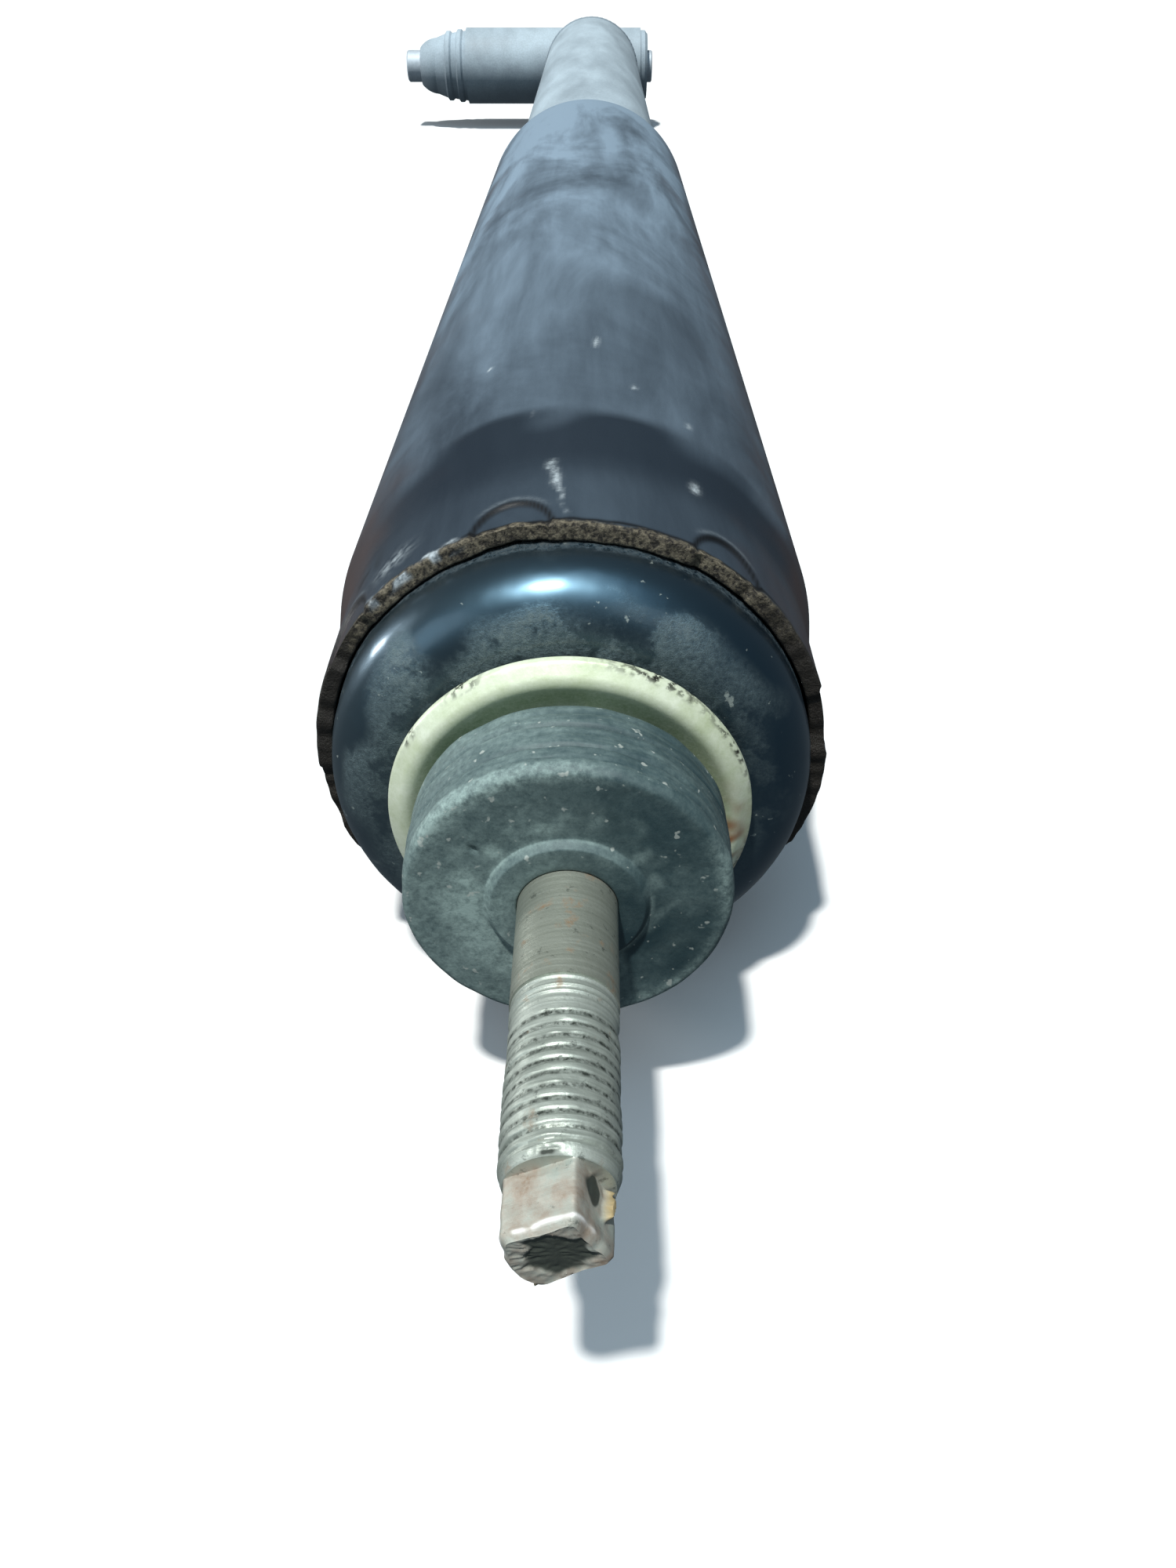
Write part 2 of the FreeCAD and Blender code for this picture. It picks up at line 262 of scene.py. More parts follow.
def studShape(radius, station, angle):
    # radius is the share of the outline's own radius, 0 on the axis. The outline is a
    # square with turned corners and a chamfered end, then a helical wave of rounded crests,
    # then ridges on the relief, then the plain shank, then the ground rod.
    side = stud["squareSide"] / 2
    turn = angle - math.radians(stud["cornerAngle"] + 45)
    quarter = (turn + math.pi / 4) % (math.pi / 2) - math.pi / 4
    flats = side / np.cos(quarter) + 1.1 * hump(apart(angle, stud["bulgeAngle"]), 0, 0.65)
    corner = stud["squareCorner"] + 0.05 * around(angle, 7, 4, 24, 0.4) \
        + 0.45 * hump(apart(angle, stud["worstCorner"]), 0, 0.7)
    square = -np.log(np.exp(-8 * flats) + np.exp(-8 * corner)) / 8
    fromTip = station - stud["tip"]
    cut = stud["chamfer"] * (1 + 0.22 * around(angle, 5, 2, 9, 0.5)
                             - 0.40 * hump(apart(angle, stud["worstCorner"]), 0, 0.9))
    square = square - np.clip(cut - fromTip, 0, None) * 0.9
    square = square + 0.03 * ripple(radius * 4, station, angle, 8, 1.7)
    burr = hump(apart(angle, stud["burrAngle"]) - 0.05 * (station + 49.3), 0, 0.07) \
        * smooth(-51.0, -50.5, station) * smooth(-47.8, -48.1, station) \
        * (0.75 + 0.40 * ripple(radius * 4, station, angle, 22, 1.3))
    burr = np.clip(burr, 0, 0.75)
    spike = hump(apart(angle, stud["spikeAngle"]), 0, 0.035) \
        * hump(station, stud["spikeStation"], 0.22)
    square = square + 1.05 * burr + 0.8 * spike
    along = station - stud["squareEnd"]
    phase = along / stud["pitch"] - angle / (2 * math.pi)
    wave = 1 - np.abs(2 * (phase % 1.0) - 1)
    tooth = smooth(0.02, 0.62, wave)
    worn = stud["wearMm"] * tooth ** 4 \
        * np.clip(1 + ripple(radius * 5, station, angle, 11, 3.0), 0, None)
    root = stud["crest"] - stud["depth"]
    thread = root + stud["depth"] * tooth - worn
    start = 4.42 + 0.36 * np.clip(along, 0, 3)
    gouge = 0.35 * hump(apart(angle, -12), 0, 0.24) * hump(along, 0.45, 0.40) \
        * (1 + 0.5 * ripple(radius * 5, station, angle, 19, 1.0))
    thread = np.minimum(thread, start)
    thread = np.maximum(thread, start - 0.10 - 0.6 * smooth(0.9, 2.2, along)) - gouge
    thread = np.maximum(thread, root + (stud["relief"] - root)
                        * smooth(stud["threadEnd"] - 1.3, stud["threadEnd"] - 0.1, station))
    relief = stud["relief"] + sum(size * hump(station, at, wide)
                                  for at, size, wide in stud["ridges"])
    shank = stud["shank"] + 0.006 * ripple(0 * radius, station, angle, 13, 0.9)
    outline = np.where(station < stud["squareEnd"], square,
                       np.where(station < stud["threadEnd"], thread,
                                np.where(station < stud["shankStart"], relief, shank)))
    behind = station > -0.01
    outline = np.where(behind, 1.0, outline)
    endFace = (station < stud["tip"] + 0.01) & (radius < 0.99)
    true = radius * outline
    hollow = 1 - smooth(2.3, 2.8, true + 0.30 * ripple(true, 0 * true, angle, 17, 2.0))
    dished = station + np.where(endFace, 0.22 * hollow
                                + 0.05 * np.abs(ripple(true, 0 * true, angle, 18, 0.9)), 0)
    onSquare = station < stud["squareEnd"]
    # darker in the thread's roots, a little darker over the rest of the thread and the shank
    grime = np.where(station < stud["threadEnd"],
                     (1 - tooth) * smooth(1.0, 2.5, along) + 0.10, 0.16)
    burnt = 1.2 * hump(apart(angle, 50), 0, 0.36) * hump(station, -48.9, 1.3) \
        * (1 + 0.22 * ripple(radius * 4, station, angle, 20, 2.2))
    marks = {"grime": np.where(onSquare, 0.0, grime),
             "scorch": np.where(endFace, hollow, 0) + 0.8 * gouge / 0.35 * ~onSquare
             + onSquare * smooth(0.35, 0.6, burnt),
             "burr": np.clip(2 * (burr + spike) * onSquare, 0, 1),
             # edge: a painted highlight along the chamfer, only on its upper side
             "edge": onSquare * hump(fromTip, cut, 0.15) * smooth(-0.1, 0.5, np.cos(angle + 0.3))
             * smooth(-0.9, 0.5, ripple(radius * 4, station, angle, 23, 2.0)),
             "flats": 1.0 * onSquare, "chrome": 1.0 * behind,
             "shank": (station > stud["shankStart"]) * (1.0 - behind)}
    return true, dished, marks


def makeStud():
    # rows: (share of the outline, station) up to the shoulder, then true radii
    share = np.linspace(0, 1, 20)
    face = np.stack([share, np.full(20, stud["tip"])], -1)
    runs = [(stud["tip"], stud["squareEnd"] - 0.02, 44), (stud["squareEnd"] + 0.01, -33.45, 172),
            (-33.38, stud["shankStart"] - 0.02, 44), (stud["shankStart"] + 0.01, -0.05, 58)]
    body = [np.stack([np.ones(n), np.linspace(a, b, n)], -1) for a, b, n in runs]
    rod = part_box("piston_rod")
    rodRadius = rod[1].x / mm
    rodEnd = (rod[1].y - shoulderY) / mm
    start, spigot = rodEnd - stud["spigotMm"], stud["spigot"]
    behind = rounded([(rodRadius, 0.0, 0.0, 6), (rodRadius, start, 0, 6),
                      (spigot, start, 0, 2), (spigot, rodEnd - 1, 0, 2),
                      (spigot - 1, rodEnd, 0, 1), (0, rodEnd, 0, 1)], closed=False)
    profile = np.concatenate([face, *body, behind])
    return turned("studAndRod", profile, stud["columns"], studShape, closedRows=False, sharp=50)


def turnedSteel():
    # Carbon steel, turned and die-cut, then years in the wet: pale grey with fine rings left
    # by the tool, darker in the thread's roots, small brown blooms of rust, a burnt-looking
    # hollow in the end and a painted highlight along the upper edge of the end's chamfer.
    # The rod behind the shoulder is ground and hard chromed.
    material, shader, place, add = startMaterial("turnedCarbonSteel")
    rings = add("Mapping", {"Vector": place, "Scale": (60, perMm(0.45), 60)})
    ring = add("TexNoise", {"Vector": rings, "Scale": 1.0, "Detail": 4.0, "Roughness": 0.6})
    blotch = add("TexNoise", {"Vector": place, "Scale": perMm(3.0), "Detail": 6.0,
                              "Roughness": 0.65})
    fine = add("TexNoise", {"Vector": place, "Scale": perMm(0.55), "Detail": 5.0,
                            "Roughness": 0.65})
    names = ("grime", "scorch", "burr", "flats", "chrome", "shank", "edge")
    mark = {key: add("Attribute", attribute_name=key).outputs["Fac"] for key in names}
    rusty = add("MapRange", {"Value": blotch, "From Min": 0.60, "From Max": 0.72, "To Max": 0.85})
    broken = add("MapRange", {"Value": fine, "From Min": 0.36, "From Max": 0.62})
    plain = add("MapRange", {"Value": mark["flats"], "To Min": 0.7, "To Max": 0.9})
    worn = add("Mix", {0: mark["flats"], 2: ring, 3: blotch})
    spread = add("MapRange", {"Value": worn, "From Min": 0.3, "From Max": 0.7, "To Max": plain})
    base = add("Mix", {0: spread, 6: colour(stud["steelColour"]), 7: colour(stud["steelLight"])},
               data_type="RGBA").outputs[2]
    warm = add("MapRange", {"Value": blotch, "From Min": 0.36, "From Max": 0.58, "To Max": 0.85})
    stain = add("Math", {0: mark["flats"], 1: warm}, operation="MULTIPLY")
    flat = add("Mix", {0: stain, 6: base, 7: colour(stud["stainColour"])},
               data_type="RGBA").outputs[2]
    pitted = add("TexNoise", {"Vector": place, "Scale": perMm(1.6), "Detail": 5.0,
                              "Roughness": 0.75})
    pits = add("MapRange", {"Value": pitted, "From Min": 0.60, "From Max": 0.66, "To Max": 0.55})
    # darker in the thread's roots and in small pits
    darkenedAmount = add("Math", {0: mark["grime"], 1: broken, 2: pits}, operation="MULTIPLY_ADD",
               use_clamp=True)
    aged = add("Math", {0: mark["shank"], 1: 0.55}, operation="MULTIPLY")
    olive = add("Mix", {0: aged, 6: flat, 7: colour(stud["shankColour"])},
                data_type="RGBA").outputs[2]
    darkenedColour = add("Mix", {0: darkenedAmount, 6: olive, 7: colour(stud["darkColour"])},
                data_type="RGBA").outputs[2]
    rust = add("Mix", {0: rusty, 6: darkenedColour, 7: colour(stud["rustColour"])},
               data_type="RGBA").outputs[2]
    burnt = add("Mix", {0: mark["scorch"], 6: rust, 7: colour(stud["burntColour"])},
                data_type="RGBA").outputs[2]
    burred = add("Mix", {0: mark["burr"], 6: burnt, 7: colour(stud["burrColour"])},
                 data_type="RGBA").outputs[2]
    # painted highlight: near-white along the chamfer's upper edge
    edgeHighlighted = add("Mix", {0: mark["edge"], 6: burred, 7: colour(stud["edgeHighlightColour"])},
                 data_type="RGBA").outputs[2]
    final = add("Mix", {0: mark["chrome"], 6: edgeHighlighted, 7: colour(stud["chromeColour"])},
                data_type="RGBA").outputs[2]
    bare = add("Math", {0: mark["flats"], 1: 0.65, 2: mark["scorch"]}, operation="MULTIPLY_ADD",
               use_clamp=True)
    dull = add("Math", {0: rusty, 1: bare}, operation="MAXIMUM")
    metal = add("MapRange", {"Value": dull, "To Min": 0.62, "To Max": 0.1})
    grain = add("MapRange", {"Value": fine, "To Min": 0.36, "To Max": 0.66})
    smoothed = add("MapRange", {"Value": mark["chrome"], "To Min": 1.0, "To Max": 0.28})
    rough = add("Math", {0: grain, 1: smoothed}, operation="MULTIPLY")
    height = add("Math", {0: ring, 1: fine}, operation="ADD")
    damped = add("Math", {0: height, 1: smoothed}, operation="MULTIPLY")
    bump = add("Bump", {"Height": damped, "Strength": 0.5, "Distance": 0.00009})
    setInputs(shader, {"Base Color": final, "Metallic": metal, "Roughness": rough, "Normal": bump})
    return material


# The rubber bush on the stud.

bush = {
    "bore": 4.97, "radius": 16.3, "face": -15.7, "back": -2.02, "boss": 7.6, "bossHeight": 0.8,
    "edge": 0.7, "grooves": ((-11.9, 0.28, 0.22), (-8.3, 0.40, 0.22), (-13.7, 0.10, 0.16),
                             (-10.0, 0.05, 0.2), (-6.4, 0.08, 0.3)),
    "rubber": "1d353b", "dust": "90a5a1", "dustCover": 0.25, "crumb": "a9b0aa",
    "columns": 300,
}


def bushShape(radius, station, angle):
    # profile turned, then grooves and a slight swell on the side and shallow pits on the face
    side = smooth(12.0, 15.0, radius)
    face = smooth(-14.6, -15.5, station)
    groove = sum(depth * hump(station + 0.25 * around(angle, 40 + i, 1, 5), at, wide)
                 for i, (at, depth, wide) in enumerate(bush["grooves"]))
    lines = 0.015 * np.sin(station * 6.0 + 0.6 * around(angle, 46, 1, 6))
    worn = 0.10 * ripple(radius, station, angle, 21, 6.0)
    moved = radius + side * (1 - face) * (0.18 - groove + lines) + side * worn * 0.6
    pits = 0.015 * ripple(radius, 0 * station, angle, 23, 5.0)
    pits = pits + 0.006 * ripple(radius, 0 * station, angle, 24, 1.5)
    nick = -0.35 * hump(apart(angle, -52) * 11.0, 0, 0.22) * hump(radius, 11.2, 0.5)
    pushed = station + face * smooth(8.3, 9.5, radius) * smooth(16.2, 15.2, radius) \
        * (pits - nick)
    edge = hump(radius, bush["radius"] - 0.5, 0.9) * smooth(-13.9, -15.0, station)
    # painted light: the left side is made paler, as if lit from there
    left = (0.5 - 0.5 * np.sin(angle)) ** 2
    cloud = 0.25 * ripple(radius, station, angle, 25, 3.0) \
        + 0.9 * hump(apart(angle, -118), 0, 0.8)
    cake = face * hump(radius, 9.8, 2.2) * smooth(0.0, 0.8, cloud)
    # painted highlight: a pale ring round the boss's chamfer
    ring = face * hump(radius, 8.25, 0.16) * smooth(-0.9, 0.6, around(angle, 26, 1, 9, 0.4))
    rubbed = smooth(-0.2, 0.9, around(angle, 27, 1, 6, 0.4) + hump(apart(angle, -38), 0, 0.8))
    marks = {"edge": edge * (0.10 + 0.90 * rubbed), "left": left,
             # side: grooves kept free of dust, painted shade that leaves them dark
             "side": side * (1 - face) * (1 - np.clip(3 * groove, 0, 1)),
             # cake also carries the ring's painted highlight
             "cake": np.maximum(cake, 0.8 * ring)}
    return moved, pushed, marks


def makeBush():
    b = bush
    profile = rounded([
        (b["bore"], b["face"] - b["bossHeight"], 0.25, 0.4),
        (b["boss"], b["face"] - b["bossHeight"], 0.30, 0.2),
        (b["boss"] + 0.65, b["face"], 0.25, 0.35),
        (b["radius"], b["face"], b["edge"], 0.22),
        (b["radius"], b["back"] - 3.2, 1.0, 0.3),
        (13.2, b["back"], 0.6, 0.6),
        (b["bore"], b["back"], 0.0, 0.8)])
    return turned("upperBush", profile, b["columns"], bushShape)


def oldRubber(name, dark, dust, dustAmount):
    # Natural rubber, moulded, aged outdoors: it has lost its gloss, and pale dust stays in
    # the pores, along the edges and in the lathe-like lines of the mould, in cloudy patches.
    # Where a piece marks it, painted light makes the left side paler, painted shade keeps the
    # grooves dark and a pale ring round the boss is a painted highlight.
    material, shader, place, add = startMaterial(name)
    cloud = add("TexNoise", {"Vector": place, "Scale": perMm(13), "Detail": 6.0, "Roughness": 0.6,
                             "Distortion": 0.5})
    grain = add("TexNoise", {"Vector": place, "Scale": perMm(0.7), "Detail": 6.0,
                             "Roughness": 0.72})
    drawn = add("Mapping", {"Vector": place, "Scale": (perMm(7), perMm(0.9), perMm(7))})
    lines = add("TexNoise", {"Vector": drawn, "Scale": 1.0, "Detail": 4.0, "Roughness": 0.6})
    names = ("edge", "side", "left", "cake")
    mark = {key: add("Attribute", attribute_name=key).outputs["Fac"] for key in names}
    film = add("MapRange", {"Value": cloud, "From Min": 0.40, "From Max": 0.66, "To Min": 0.01,
                            "To Max": dustAmount})
    worn = add("Math", {0: mark["edge"], 1: grain}, operation="MULTIPLY")
    more = add("Math", {0: worn, 1: 0.85, 2: film}, operation="MULTIPLY_ADD")
    lined = add("MapRange", {"Value": lines, "From Min": 0.38, "From Max": 0.66, "To Min": 0.0,
                             "To Max": 0.13})
    # side's clear grooves are painted shade
    sided = add("Math", {0: mark["side"], 1: lined, 2: more}, operation="MULTIPLY_ADD")
    # painted light: paler on the left side
    lit = add("Math", {0: mark["left"], 1: 0.36, 2: sided}, operation="MULTIPLY_ADD")
    # cake includes the painted highlight ring round the boss
    caked = add("Math", {0: mark["cake"], 1: 0.55, 2: lit}, operation="MULTIPLY_ADD")
    mottled = add("MapRange", {"Value": grain, "From Min": 0.32, "From Max": 0.66, "To Min": 0.5,
                               "To Max": 1.35})
    amount = add("Math", {0: caked, 1: mottled}, operation="MULTIPLY", use_clamp=True)
    base = add("Mix", {0: amount, 6: colour(dark), 7: colour(dust)}, data_type="RGBA").outputs[2]
    fleck = add("TexNoise", {"Vector": place, "Scale": perMm(1.1), "Detail": 2.0})
    crumb = add("MapRange", {"Value": fleck, "From Min": 0.68, "From Max": 0.73, "To Max": 0.7})
    final = add("Mix", {0: crumb, 6: base, 7: colour(bush["crumb"])}, data_type="RGBA").outputs[2]
    rough = add("MapRange", {"Value": amount, "To Min": 0.55, "To Max": 0.9})
    height = add("Math", {0: mark["side"], 1: lines, 2: grain}, operation="MULTIPLY_ADD")
    bump = add("Bump", {"Height": height, "Strength": 0.45, "Distance": 0.00010})
    setInputs(shader, {"Base Color": final, "Roughness": rough, "Normal": bump, "IOR": 1.5})
    return material


# The cup washer.

washer = {
    "bore": 5.05, "flatEnd": 13.9, "crest": 17.6, "crestStation": -3.4, "rim": 19.6,
    "thick": 2.0, "knocks": ((27, 0.26), (62, 0.24), (-33, 0.10), (-58, 0.06), (118, 0.3)),
    "rustAngle": 108, "rust": "8a4c18", "chip": "262720", "film": "bfcba6",
    "bright": "eef5e2", "green": "93a67c", "columns": 480,
}


def washerShape(radius, station, angle):
    # profile turned, with a faint press ripple and small chips out of the rim
    chip = np.clip(around(angle, 31, 20, 90, 0.2) - 1.25, 0, 1)
    outer = smooth(18.8, 19.3, radius)
    moved = radius - outer * (0.12 * chip + 0.02 * around(angle, 32, 2, 12, 0.5))
    pushed = station + 0.04 * ripple(radius, 0 * station, angle, 33, 12) * smooth(8, 14, radius)
    spots = smooth(-0.1, 0.3, ripple(radius, station, angle, 34, 0.9))
    knocked = sum(hump(apart(angle, at), 0, wide) for at, wide in washer["knocks"])
    rust = 1.5 * hump(apart(angle, washer["rustAngle"]), 0, 0.36) * hump(radius, 17.0, 2.0) \
        * (0.6 + 0.4 * ripple(radius, station, angle, 35, 2.5))
    rust = np.clip(rust, 0, 1)
    marks = {"chip": outer * np.maximum(np.clip(chip * 3, 0, 1), spots * knocked),
             "band": hump(radius, 15.6, 1.7), "rust": rust}
    return moved, pushed, marks


def makeWasher():
    w = washer
    profile = rounded([
        (w["bore"], -w["thick"], 0.1, 0.8),
        (w["flatEnd"], -w["thick"], 1.6, 0.25),
        (w["crest"], w["crestStation"], 1.5, 0.2),
        (w["rim"] - 0.15, -2.0, 0.35, 0.15),
        (w["rim"], -0.75, 0.4, 0.15),
        (w["crest"] + 0.3, -1.35, 0.8, 0.25),
        (w["flatEnd"] + 0.8, 0.0, 1.2, 0.4),
        (w["bore"], 0.0, 0.1, 0.8)])
    return turned("cupWasher", profile, w["columns"], washerShape)


def zincPassivate():
    # Pressed steel, zinc plated and passivated: a soft metal shine, pale, turning green in
    # the hollow where the film is thick, with dark chips where the rim has been knocked and
    # a rusty stain low down on one side.
    material, shader, place, add = startMaterial("passivatedZincPlate")
    cloud = add("TexNoise", {"Vector": place, "Scale": perMm(5), "Detail": 8.0, "Roughness": 0.78})
    grain = add("TexNoise", {"Vector": place, "Scale": perMm(0.4), "Detail": 4.0,
                             "Roughness": 0.7})
    band = add("Attribute", attribute_name="band").outputs["Fac"]
    chip = add("Attribute", attribute_name="chip").outputs["Fac"]
    rust = add("Attribute", attribute_name="rust").outputs["Fac"]
    spread = add("MapRange", {"Value": cloud, "From Min": 0.3, "From Max": 0.7})
    base = add("Mix", {0: spread, 6: colour(washer["film"]), 7: colour(washer["bright"])},
               data_type="RGBA").outputs[2]
    mottle = add("MapRange", {"Value": grain, "From Min": 0.3, "From Max": 0.7, "To Min": 0.45,
                              "To Max": 0.95})
    deep = add("Math", {0: band, 1: mottle}, operation="MULTIPLY")
    green = add("Mix", {0: deep, 6: base, 7: colour(washer["green"])}, data_type="RGBA").outputs[2]
    broken = add("MapRange", {"Value": grain, "From Min": 0.36, "From Max": 0.46})
    chipped = add("Math", {0: chip, 1: broken}, operation="MULTIPLY")
    rusted = add("Mix", {0: rust, 6: green, 7: colour(washer["rust"])},
                 data_type="RGBA").outputs[2]
    final = add("Mix", {0: chipped, 6: rusted, 7: colour(washer["chip"])},
                data_type="RGBA").outputs[2]
    rough = add("MapRange", {"Value": grain, "To Min": 0.30, "To Max": 0.58})
    bump = add("Bump", {"Height": grain, "Strength": 0.3, "Distance": 0.00006})
    setInputs(shader, {"Base Color": final, "Metallic": 0.25, "Normal": bump, "Roughness": rough})
    return material


# The pressed cap inside the dust tube's mouth.

cap = {
    "bore": 6.3, "flatEnd": 20.2, "radius": 26.85, "depth": 21.9, "thick": 2.4,
    "enamel": "07121a", "mud": "747f7a", "mudCover": 0.58, "crumb": "8f9791",
    "lipSoil": "3d3a33", "sheen": "9ccdea", "columns": 360,
}


def capShape(radius, station, angle):
    # profile turned, with shallow dents on the shoulder and the flat a little uneven
    shoulder = smooth(19.5, 22.5, radius)
    dent = 0.035 * ripple(radius, station, angle, 51, 12) \
        + 0.006 * ripple(radius, station, angle, 52, 2.5)
    front = 1 - smooth(7.0, 9.0, station)
    moved = radius - shoulder * front * np.abs(dent)
    pushed = station + (1 - shoulder) * (station < 1.5) \
        * 0.04 * (1 + ripple(radius, 0 * station, angle, 53, 8))
    flat = (1 - smooth(21.8, 25.0, radius + 1.0 * ripple(radius, station, angle, 54, 9))) * front
    # painted shade: the mud thins towards the right and the bottom, so those sides stay dark
    flat = flat * (1 - 0.5 * smooth(0.1, 0.9, np.sin(angle))) \
        * (0.5 + 0.5 * smooth(-0.1, 0.95, np.cos(angle)))
    lip = smooth(6.9, 8.4, station + 0.5 * around(angle, 55, 3, 40, 0.7))
    scratch = hump(apart(angle, -112) * 25 - 0.25 * (station - 3), 0, 0.13) \
        * hump(station, 2.6, 1.1)
    # left is painted light, paler towards the left side
    marks = {"flat": flat, "lip": lip, "scratch": scratch, "left": 0.5 - 0.5 * np.sin(angle)}
    return moved, pushed, marks


def makeCap():
    c = cap
    curve = c["radius"] - c["flatEnd"]
    inner = c["radius"] - c["thick"]
    profile = rounded([
        (c["bore"], 0.0, 0.0, 0.7),
        (c["radius"], 0.0, curve, 0.3),
        (c["radius"], c["depth"], 0.5, 0.8),
        (inner, c["depth"], 0.5, 0.8),
        (inner, c["thick"], curve - c["thick"], 1.2),
        (c["bore"], c["thick"], 0.0, 1.5)])
    return turned("dustCap", profile, c["columns"], capShape)


def capPaint():
    # Pressed steel in black enamel: glossy on the shoulder, where hands and rain keep it
    # clean, and under dried mud on the flat, which has flaked off in ragged patches. Painted
    # shade thins the mud on the flat's right and lower side, and painted light makes the
    # left side paler.
    material, shader, place, add = startMaterial("blackEnamelOnSteel")
    cloud = add("TexNoise", {"Vector": place, "Scale": perMm(6), "Detail": 8.0, "Roughness": 0.62})
    grain = add("TexNoise", {"Vector": place, "Scale": perMm(0.6), "Detail": 6.0,
                             "Roughness": 0.75})
    fleck = add("TexNoise", {"Vector": place, "Scale": perMm(1.3), "Detail": 3.0})
    names = ("flat", "lip", "scratch", "left")
    mark = {key: add("Attribute", attribute_name=key).outputs["Fac"] for key in names}
    patch = add("MapRange", {"Value": cloud, "From Min": 0.43, "From Max": 0.49, "To Min": 0.30})
    mottle = add("MapRange", {"Value": grain, "From Min": 0.3, "From Max": 0.65, "To Min": 0.25,
                              "To Max": 1.1})
    uneven = add("Math", {0: patch, 1: mottle}, operation="MULTIPLY")
    # mud, thinned on the right and lower side as painted shade
    mud = add("Math", {0: mark["flat"], 1: uneven}, operation="MULTIPLY")
    # painted light: a paler film on the left side
    haze = add("Math", {0: mark["left"], 1: 0.07, 2: -0.01}, operation="MULTIPLY_ADD")
    film = add("Math", {0: mud, 1: cap["mudCover"], 2: haze}, operation="MULTIPLY_ADD")
    base = add("Mix", {0: film, 6: colour(cap["enamel"]), 7: colour(cap["mud"])},
               data_type="RGBA").outputs[2]
    crumb = add("MapRange", {"Value": fleck, "From Min": 0.70, "From Max": 0.74, "To Max": 0.8})
    spots = add("Math", {0: crumb, 1: mark["scratch"]}, operation="MAXIMUM")
    spotted = add("Mix", {0: spots, 6: base, 7: colour(cap["crumb"])}, data_type="RGBA").outputs[2]
    gritty = add("MapRange", {"Value": grain, "From Min": 0.4, "From Max": 0.6})
    caked = add("Math", {0: mark["lip"], 1: gritty}, operation="MULTIPLY")
    final = add("Mix", {0: caked, 6: spotted, 7: colour(cap["lipSoil"])},
                data_type="RGBA").outputs[2]
    dull = add("Math", {0: mud, 1: caked}, operation="ADD", use_clamp=True)
    rough = add("MapRange", {"Value": dull, "To Min": 0.34, "To Max": 0.85})
    height = add("Math", {0: grain, 1: dull}, operation="MULTIPLY")
    bump = add("Bump", {"Height": height, "Strength": 0.6, "Distance": 0.00020})
    # enamel's own IOR is about 1.5; 2.1 gives the shoulder its strong bluish shine
    setInputs(shader, {"Base Color": final, "Roughness": rough, "Normal": bump, "IOR": 2.1,
                       "Specular Tint": colour(cap["sheen"]), "Coat Weight": 0.3,
                       "Coat Roughness": 0.16})
    return material


# The plastic dust tube: a neck that the cap sits in, a step, and a long plain barrel.

tube = {
    "neckInner": 27.15, "neck": 29.1, "rim": 8.5, "neckEnd": 24.0, "stepEnd": 34.0,
    "radius": 30.68, "endRadius": 30.42, "wall": 2.0, "end": 305.0,
    "tongues": 8, "firstTongue": -10.5, "tongueHalfWidth": 4.5, "tongueHeight": 6.4,
    # flank is a painted brown reflection on the barrel's sides and underside
    "tongueDepth": 0.40, "plastic": "151f29", "dust": "798c9c", "flankReflection": "392a27",
    # cut is the near-black of the painted shadow
    "chalk": "b4bfc4", "cut": "0b0d10",
    "specks": ((28, 24.5, 0.55), (14, 47.0, 0.3), (27, 40.0, 0.35),  # degrees, station, size
               (-22, 58.0, 0.25), (5, 63.0, 0.3), (-9, 36.0, 0.2)),
    "soilDark": "26231f", "soilLight": "8b836f", "columns": 440,
}


